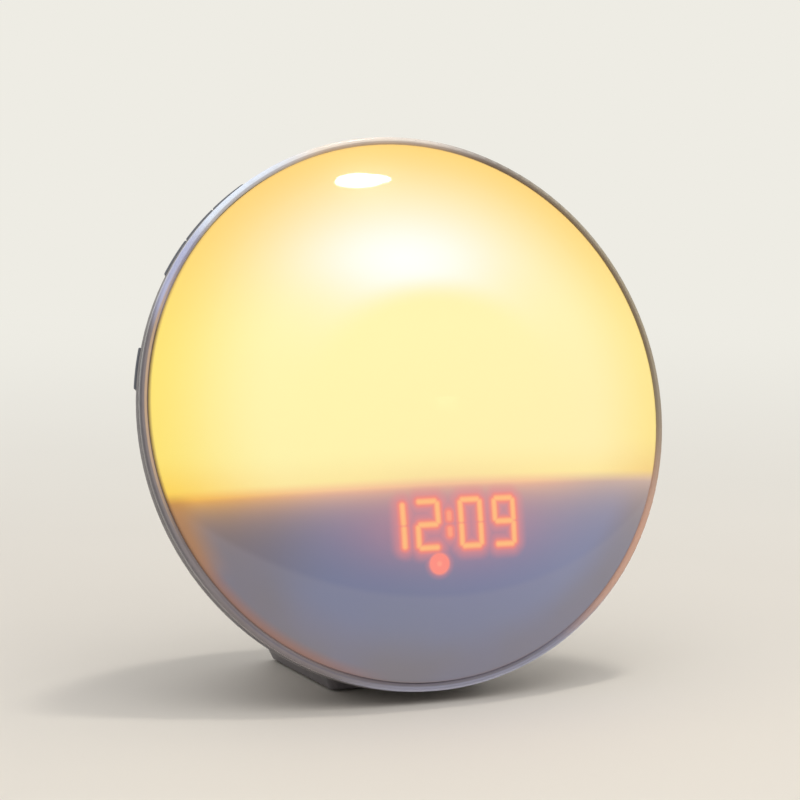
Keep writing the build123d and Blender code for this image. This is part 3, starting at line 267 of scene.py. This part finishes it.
def lit_colour(s):
    """The dome over the lamp: near white in the middle, yellow at its edge, with a
    painted highlight, a soft bloom, in its upper part.

    Here and below, a step of x, up or radius runs between two places on the face.
    """
    sideways = s.step(s.x, -75, 75)
    edge = s.mix(sideways, srgb(255, 229, 112), srgb(253, 227, 132))
    edge = s.mix(s.step(s.up, 10, 74), edge, srgb(248, 203, 98))
    low_edge = s.mix(sideways, srgb(255, 210, 78), srgb(246, 207, 122))
    edge = s.mix(s.step(s.up, -10, -26), edge, low_edge)
    core = s.mix(sideways, srgb(255, 244, 172), srgb(254, 238, 174))
    core = s.mix(s.step(s.up, 20, 60), core, srgb(254, 228, 162))
    core = s.mix(s.step(s.up, -13, -26), core, srgb(254, 232, 158))
    lit = s.mix(s.step(s.radius, 86, 50), edge, core)

    disc_up = s.math("SUBTRACT", s.up, LAMP_DISC_UP)
    past_disc = s.step(s.math("SQRT", s.squares(s.x, disc_up)), *LAMP_DISC_EDGE)
    # painted highlight: a soft bloom, shown only past the board's disc
    for (middle_x, middle_up), (wide, tall), strength, colour in BLOOM_HIGHLIGHTS:
        dx = s.math("DIVIDE", s.math("SUBTRACT", s.x, middle_x), wide)
        dy = s.math("DIVIDE", s.math("SUBTRACT", s.up, middle_up), tall)
        spot = s.decay(s.squares(dx, dy))
        lit = s.mix(s.times(spot, strength, past_disc), lit, srgb(*colour))
    return lit


def low_colour(s, below):
    """The dome over the display: grey violet, warmer near the lamp and the edge."""
    low = s.mix(s.step(s.x, -50, 55), srgb(110, 118, 149), srgb(123, 130, 163))
    low = s.mix(s.step(s.up, -50, -80), low, srgb(120, 121, 140))
    low = s.mix(s.step(s.radius, 66, 80), low, srgb(121, 115, 121))
    low = s.mix(s.times(s.step(s.x, -33, -62), 0.9), low, srgb(112, 105, 112))
    cloud = s.step(s.noise(scale=26, detail=2), 0.35, 0.7)
    low = s.mix(s.times(cloud, 0.3), low, srgb(116, 121, 158))
    # what shows past the carrier's edge is a little paler
    carrier = s.squares(
        s.math("SUBTRACT", s.x, CARRIER_MIDDLE[0]),
        s.math("SUBTRACT", s.up, CARRIER_MIDDLE[1]),
    )
    arc = s.step(s.math("SQRT", carrier), *CARRIER_EDGE)
    low = s.mix(s.times(arc, 0.2), low, srgb(150, 149, 160))
    # light that leaks past the divider
    reach = s.step(s.x, 0, 45, *LEAK_REACH)
    leak = s.decay(s.math("DIVIDE", s.math("MAXIMUM", below, 0.0), reach))
    peach = s.mix(s.step(s.x, -30, -74), srgb(244, 188, 150), srgb(240, 176, 78))
    peach = s.mix(s.step(s.x, 20, 60), peach, srgb(208, 176, 160))
    low = s.mix(leak, low, peach)
    # and past its left end, along the dome's edge
    past = s.times(s.toward(228, 34), s.step(s.radius, 79.0, 82.2), 0.6)
    low = s.mix(past, low, srgb(160, 108, 84))
    past = s.times(s.toward(202, 16), s.step(s.radius, 75.0, 81.5), 0.6)
    return s.mix(past, low, srgb(184, 128, 66))


def display_colour(s, colour):
    """The dome's colour with the digits and the indicator shining through."""
    joined = s.node("ShaderNodeCombineXYZ")
    slant = s.times(s.math("SUBTRACT", s.up, DIGIT_MIDDLE), DIGIT_LEAN)
    where = s.fill(joined, (s.math("ADD", s.x, slant), s.up)).outputs[0]

    def offset(place):
        return s.vector("SUBTRACT", where, (*place, 0))

    def nearest(bars):
        """Distance to the nearest of these middle lines."""
        near = None
        for centre, half in bars:
            away = s.vector("SUBTRACT", s.vector("ABSOLUTE", offset(centre)), (*half, 0))
            away = s.vector("LENGTH", s.vector("MAXIMUM", away, (0, 0, 0)))
            near = away if near is None else s.math("MINIMUM", near, away)
        return near

    strokes = nearest(digit_bars())
    dots = nearest([(dot, (0, COLON_HALF)) for dot in COLON])
    near = s.math("MINIMUM", strokes, dots)
    lamp = s.vector("LENGTH", offset(INDICATOR))
    wide = s.vector("DIVIDE", offset((0, DIGIT_MIDDLE)), (*HAZE_SIZE, 1))
    wide = s.decay(s.vector("DOT_PRODUCT", wide, wide))
    haze = s.math("MAXIMUM", s.step(near, 5.0, 1.0), s.step(lamp, 5.2, 2.0))
    for share, tint in (
        (s.times(wide, 0.6), (214, 137, 150)),
        (s.times(haze, 0.62), (232, 138, 140)),
        (s.step(lamp, 3.7, 2.6), (255, 143, 130)),
        (s.step(lamp, 1.2, 0.2), (255, 160, 138)),
        (s.step(near, 2.2, 0.7), (246, 136, 121)),
        (s.step(strokes, 1.3, 0.15), (255, 188, 126)),
        (s.step(dots, 1.2, 0.2), (255, 162, 128)),
    ):
        colour = s.mix(share, colour, srgb(*tint))
    return colour


def make_dome():
    s = FaceShader(
        "opal_dome",
        Roughness=0.32,
        IOR=1.49,
        Specular_IOR_Level=0.1,
        Coat_Weight=0.85,
        Coat_Roughness=0.04,
        Emission_Strength=GLOW_SHARE,
    )
    divider = s.math("ADD", s.times(s.x, s.x, DIVIDER_BEND), DIVIDER_UP)
    below = s.math("SUBTRACT", divider, s.up)
    colour = s.mix(s.step(below, *DIVIDER_BLUR), low_colour(s, below), lit_colour(s))
    colour = display_colour(s, colour)

    # painted shade in the gap at the skirt's edge, darkest at the left
    skirt = s.math("ADD", s.times(s.toward(186, 50), 0.4), 0.2)
    skirt = s.times(s.step(s.radius, *SKIRT_EDGE), skirt)
    colour = s.mix(skirt, colour, srgb(128, 92, 66))
    skin = s.mix(1.0, colour, (SKIN_SHARE, SKIN_SHARE, SKIN_SHARE, 1), "MULTIPLY")
    s.set("Base Color", skin)
    s.set("Emission Color", colour)
    s.bump(s.noise(scale=420, detail=2), strength=0.05, distance=0.00004)
    return s.material


# ----------------------------------------------------------------- the clear rim
RIM_GLOW = 0.3  # of the rim's colour that is given off: light led in from the dome, and with it the painted highlights, reflections and shade
RIM_PAINTED_REFLECTIONS = (  # painted highlights and reflections: direction and spread in degrees, and colour
    (103, 40, (226, 214, 200)),
    (130, 25, (216, 225, 238)),
    (149, 14, (172, 176, 206)),
    (284, 40, (136, 136, 153)),
    (330, 32, (190, 150, 130)),
    (26, 56, (146, 134, 112)),
)
# Radii between which its outer side, its inner side and its painted bright line set in
RIM_OUTER = (84.2, 84.8)
RIM_INNER = (83.8, 83.3)
RIM_LINE = ((82.9, 83.2), (84.0, 83.6))
RIM_DARK_LINE = 83.6


def clear_plastic():
    """The rim: clear, but milky with the light that it leads round the dome, and painted
    with highlights, reflections and shade by direction.
    """
    s = FaceShader(
        "clear_rim",
        IOR=1.49,
        Specular_IOR_Level=0.3,
        Coat_Weight=0.15,
        Coat_Roughness=0.03,
        Transmission_Weight=0.12,
        Emission_Strength=RIM_GLOW,
    )
    colour = srgb(122, 114, 115)
    for angle, spread, tint in RIM_PAINTED_REFLECTIONS:
        colour = s.mix(s.toward(angle, spread), colour, srgb(*tint))
    # the outer side: painted shade darkens it at the left, and a painted reflection
    # lightens it below
    outer = s.step(s.radius, *RIM_OUTER)
    colour = s.mix(s.times(outer, s.toward(186, 40)), colour, srgb(92, 88, 92))
    colour = s.mix(s.times(outer, s.toward(284, 40)), colour, srgb(168, 169, 186))
    # painted shade darkens the inner side, and painted light from the dome's edge lessens
    # it at the lower left and right
    lit = s.math("MAXIMUM", s.toward(330, 44), s.toward(228, 30))
    inner = s.math("SUBTRACT", 1.0, s.times(lit, 0.85))
    inner = s.times(s.step(s.radius, *RIM_INNER), inner)
    colour = s.mix(inner, colour, (0.6, 0.54, 0.5, 1), "MULTIPLY")
    # painted light: a warm line along the left, the dome's light seen through the rim;
    # and below it a painted dark reflection line
    inside, outside = (s.step(s.radius, *radii) for radii in RIM_LINE)
    line = s.times(inside, outside, s.toward(176, 32), 0.9)
    colour = s.mix(line, colour, srgb(192, 162, 132))
    dark_line = s.math("ABSOLUTE", s.math("SUBTRACT", s.radius, RIM_DARK_LINE))
    dark_line = s.times(s.step(dark_line, 0.4, 0.1), s.toward(238, 26), 0.7)
    colour = s.mix(dark_line, colour, srgb(100, 94, 106))
    veil = s.step(s.noise(scale=60), 0.3, 0.7, 0, 0.12)
    s.set("Base Color", s.mix(veil, colour, srgb(150, 146, 150)))
    s.set("Emission Color", colour)
    s.set("Roughness", s.step(s.noise(scale=90), 0.3, 0.8, 0.12, 0.2))
    s.bump(s.noise(scale=200, detail=2), strength=0.05, distance=0.00002)
    return s.material


# --------------------------------------------------------------- other materials
HOUSING_SHADE_EDGE = (-4.2, -2.8)  # places out between which painted shade darkens the front edge


def front_edge_shade(s, colour):
    """The colour, with painted shade at the housing's front edge, behind the rim."""
    edge = s.step(s.along(FACE_AXIS), *HOUSING_SHADE_EDGE)
    return s.mix(edge, colour, (0.6, 0.58, 0.6, 1), "MULTIPLY")


def plastic(
    name, colour, roughness=0.4, grain=900.0, depth=0.00003, spread=0.03, shade=None
):
    """Moulded plastic: faint flow of colour, uneven gloss and a fine skin."""
    s = Shader(name)
    flow = s.vary(colour, spread, scale=38)
    s.set("Base Color", shade(s, flow) if shade else flow)
    gloss = s.noise(scale=120, detail=4)
    s.set("Roughness", s.step(gloss, 0.25, 0.75, roughness - 0.06, roughness + 0.06))
    fine = s.noise(grain, detail=4)
    wide = s.times(s.noise(scale=60, detail=2), 1.5)
    s.bump(s.math("ADD", fine, wide), strength=0.25, distance=depth)
    return s.material


def metal(name, colour, roughness=0.3, grain=(1, 1, 1)):
    s = Shader(name, Metallic=1.0)
    s.set("Base Color", s.vary(colour, spread=0.06, scale=160))
    brushed = s.noise(scale=500, detail=4, stretch=grain)
    s.set("Roughness", s.step(brushed, 0.2, 0.8, roughness - 0.08, roughness + 0.12))
    s.bump(brushed, strength=0.15, distance=0.00002)
    return s.material


def board():
    s = Shader("board_laminate", Roughness=0.35)
    tracks = s.node("ShaderNodeTexBrick")
    s.put(tracks.inputs["Vector"], s.vector("MULTIPLY", s.place, (1, 3, 1)))
    tracks.inputs["Scale"].default_value = 120
    tracks.inputs["Mortar Size"].default_value = 0.03
    s.put(tracks.inputs["Color1"], srgb(24, 92, 52))
    s.put(tracks.inputs["Color2"], srgb(20, 80, 44))
    s.put(tracks.inputs["Mortar"], srgb(52, 128, 78))
    laminate = s.mix(s.noise(scale=300), tracks.outputs["Color"], srgb(22, 84, 48))
    s.set("Base Color", laminate)
    s.bump(s.noise(scale=700), strength=0.2, distance=0.00003)
    return s.material


def glowing(name, colour, strength):
    s = Shader(name, Roughness=0.4, Emission_Strength=strength)
    shade = s.vary(colour, spread=0.08, scale=220)
    s.set("Base Color", shade)
    s.set("Emission Color", shade)
    s.bump(s.noise(scale=600, detail=2), strength=0.1, distance=0.00003)
    return s.material


def pieces(words):
    """The nodes with these words in their names."""
    return [name for name in nodes if words in name]


def dress():
    keys = [name for name in pieces("_key_") if name[-1].isdigit()]
    paint(make_dome(), "front_dome")
    paint(clear_plastic(), "rim_ring")
    # painted shade: the housing, keys and battery cap are white plastic, and their grey
    # stands in for the shade they lie in
    paint(plastic("housing_plastic", srgb(118, 113, 116), shade=front_edge_shade), "back_shell")
    paint(plastic("key_plastic", srgb(104, 107, 114), 0.38), *keys)
    paint(plastic("cap_plastic", srgb(124, 119, 122), 0.42), "battery_cap")
    paint(plastic("pad_rubber", srgb(34, 33, 33), 0.85, 700, 0.0001), "foot_pads")

    # lamp and display
    paint(plastic("reflector_plastic", srgb(240, 240, 236), 0.25), "light_reflector")
    paint(plastic("divider_plastic", srgb(236, 236, 232), 0.5), "light_divider")
    paint(glowing("lamp_phosphor", srgb(255, 226, 150), 1.5), "lamp_leds")
    paint(plastic("panel_plastic", srgb(196, 196, 202), 0.5), "display_panel")
    paint(plastic("module_black", srgb(20, 20, 24), 0.2), "digit_display")
    paint(glowing("segment_orange", srgb(255, 120, 70), 2.0), "digit_segments")
    paint(glowing("indicator_lens", srgb(255, 130, 110), 1.5), "indicator_led")

    # boards and what they carry
    boards = ("lamp_board", "display_board", "main_board")
    paint(board(), *boards, *pieces("key_board"))
    paint(plastic("switch_plastic", srgb(34, 34, 38), 0.5), *pieces("switches"))
    paint(plastic("chip_black", srgb(28, 28, 30), 0.55), "board_chips")
    can = metal("capacitor_can", srgb(206, 208, 212), 0.25, (1, 1, 30))
    paint(can, "board_capacitors")
    paint(plastic("connector_plastic", srgb(232, 226, 208), 0.4), "board_connectors")
    paint(plastic("jack_plastic", srgb(26, 26, 28), 0.45), "power_jack")
    brass = metal("contact_metal", srgb(216, 190, 120), 0.25)
    paint(brass, "power_jack_pin", "battery_contact_top", "battery_contact_side")
    paint(metal("cell_steel", srgb(214, 214, 216), 0.2, (1, 20, 1)), "coin_cell")
    paint(metal("screw_steel", srgb(196, 196, 200), 0.3), *pieces("_screws"))

    # speaker
    paint(plastic("foam", srgb(40, 40, 42), 0.95, 400, 0.0004), "speaker_gasket")
    steel = metal("frame_steel", srgb(170, 170, 174), 0.35)
    paint(steel, "speaker_frame", "speaker_yoke")
    paint(plastic("cone_paper", srgb(40, 40, 42), 0.9, 500, 0.0003, 0.1), "speaker_cone")
    paint(plastic("magnet_ferrite", srgb(62, 62, 66), 0.7, 300, 0.0001), "speaker_magnet")


dress()

# ------------------------------------------------------------------------- stage
BACKGROUND = srgb(238, 236, 228)
FLOOR_RADIUS = 5.0
FLOOR_NEAR = 0.65  # the floor fades with 1 over this and the distance, in metres
FLOOR_FADE = (1.25, 0.3)  # where that fade begins and is full
WORLD_LIGHT = (0.32, 0.95)  # at the horizon and overhead


def make_floor():
    bpy.ops.mesh.primitive_circle_add(vertices=96, radius=FLOOR_RADIUS, fill_type="NGON")
    floor = bpy.context.object
    floor.name = "floor"
    s = Shader("floor_paper", Roughness=0.7)
    s.set("Base Color", s.vary(srgb(226, 220, 208), spread=0.012, scale=3))
    s.bump(s.noise(scale=180, detail=4), strength=0.05, distance=0.0002)
    glow = s.node("ShaderNodeEmission")
    glow.inputs["Color"].default_value = BACKGROUND
    far = s.math("DIVIDE", 1.0, s.math("ADD", s.vector("LENGTH", s.place), FLOOR_NEAR))
    share = s.times(s.step(far, *FLOOR_FADE), s.shown_rays())
    faded = s.blend(share, s.surface.outputs[0], glow.outputs[0])
    s.put(s.out.inputs["Surface"], faded)
    floor.data.materials.append(s.material)


def make_world():
    world = bpy.data.worlds.new("studio")
    bpy.context.scene.world = world
    world.use_nodes = True
    w = Nodes(world.node_tree)
    # the room is darker round about than above
    direction = w.node("ShaderNodeTexCoord").outputs["Generated"]
    split = w.fill(w.node("ShaderNodeSeparateXYZ"), (direction,))
    level = w.node("ShaderNodeMapRange")
    w.fill(level, (split.outputs["Z"], 0.0, 1.0, *WORLD_LIGHT))
    soft = w.node("ShaderNodeBackground")
    soft.inputs["Color"].default_value = srgb(246, 246, 250)
    w.put(soft.inputs["Strength"], level.outputs[0])
    seen = w.node("ShaderNodeBackground")
    seen.inputs["Color"].default_value = BACKGROUND
    both = w.blend(w.shown_rays(), soft.outputs[0], seen.outputs[0])
    w.put(w.node("ShaderNodeOutputWorld").inputs["Surface"], both)


def area_light(name, place, turn, size, power, colour, shape="RECTANGLE"):
    data = bpy.data.lights.new(name, "AREA")
    data.shape = shape
    data.size, data.size_y = size
    data.energy = power
    data.color = colour[:3]
    lamp = bpy.data.objects.new(name, data)
    bpy.context.scene.collection.objects.link(lamp)
    lamp.location = place
    lamp.rotation_euler = turn
    return lamp


# ------------------------------------------------------------------------ camera
AZIMUTH = math.radians(-21.51)
ELEVATION = math.radians(4.72)
FOCAL_PIXELS = 2141.9
FRAME_PIXELS = 800
DISTANCE = 0.650
RING_PIXEL = (413.94, 409.10)  # where the middle of the rim lies in the frame

back = Vector(
    (
        math.sin(AZIMUTH) * math.cos(ELEVATION),
        -math.cos(AZIMUTH) * math.cos(ELEVATION),
        math.sin(ELEVATION),
    )
)
right = Vector((math.cos(AZIMUTH), math.sin(AZIMUTH), 0))
above = back.cross(right)
offset_x = (RING_PIXEL[0] - FRAME_PIXELS / 2) / FOCAL_PIXELS * DISTANCE
offset_y = (FRAME_PIXELS / 2 - RING_PIXEL[1]) / FOCAL_PIXELS * DISTANCE

camera_data = bpy.data.cameras.new("camera")
camera_data.sensor_width = 36.0
camera_data.lens = camera_data.sensor_width * FOCAL_PIXELS / FRAME_PIXELS
camera = bpy.data.objects.new("camera", camera_data)
bpy.context.scene.collection.objects.link(camera)
camera.location = FACE + back * DISTANCE - right * offset_x - above * offset_y
camera.rotation_euler = Matrix((right, above, back)).transposed().to_euler()
bpy.context.scene.camera = camera

# ------------------------------------------------------------------------ lights
CLOCK_MIDDLE = Vector((0, 0, 0.085))
SOFT_BOX_SIZE = 2.4
SOFT_BOXES = (  # name, place, power and colour
    ("key", (-0.4, -1.5, 2.2), 15.0, (246, 248, 255)),
    ("fill", (1.1, -1.6, 1.9), 7.0, (255, 246, 232)),
)
STRIP_DISTANCE = 1.2
STRIP_RADIANCE = 30.0
STRIP_WHITE = srgb(255, 252, 246)
STRIPS = (  # name, and where its image's middle, right end and top lie on the dome
    ("strip", (-14.9, 69.2), (-7.6, 69.3), (-14.7, 71.7)),
    ("strip_end", (-10.6, 69.6), (-4.6, 69.6), (-10.6, 71.2)),
)


def soft_box(name, place, power, colour):
    """A wide lamp that looks at the clock and isn't mirrored in it."""
    turn = (Vector(place) - CLOCK_MIDDLE).to_track_quat("Z", "Y").to_euler()
    size = (SOFT_BOX_SIZE, SOFT_BOX_SIZE)
    lamp = area_light(name, place, turn, size, power, srgb(*colour))
    lamp.visible_glossy = False


def mirrored(place):
    """Direction in which the dome shows things at this place of its surface."""
    normal = (place - FACE + FACE_AXIS * DOME_CENTRE * MM).normalized()
    view = (camera.location - place).normalized()
    return 2 * normal.dot(view) * normal - view


def highlight(name, centre, right_end, top):
    """A lamp whose mirror image on the dome has these places on its outline."""
    middle = on_dome(*centre)
    outward = mirrored(middle)
    spot = middle + outward * STRIP_DISTANCE

    def seen(place):
        """From the lamp's middle to where its plane is seen at this place."""
        start = on_dome(*place)
        direction = mirrored(start)
        reach = (spot - start).dot(outward) / direction.dot(outward)
        return start + direction * reach - spot

    side = seen(right_end)
    x_axis = side.normalized()
    y_axis = outward.cross(x_axis)
    size = (2 * side.length, 2 * abs(seen(top).dot(y_axis)))
    turn = Matrix((x_axis, y_axis, outward)).transposed().to_euler()
    power = STRIP_RADIANCE * math.pi * size[0] * size[1]
    area_light(name, spot, turn, size, power, STRIP_WHITE, "ELLIPSE")


make_floor()
make_world()
for strip in STRIPS:
    highlight(*strip)
for box in SOFT_BOXES:
    soft_box(*box)

bpy.context.scene.view_settings.view_transform = "Standard"
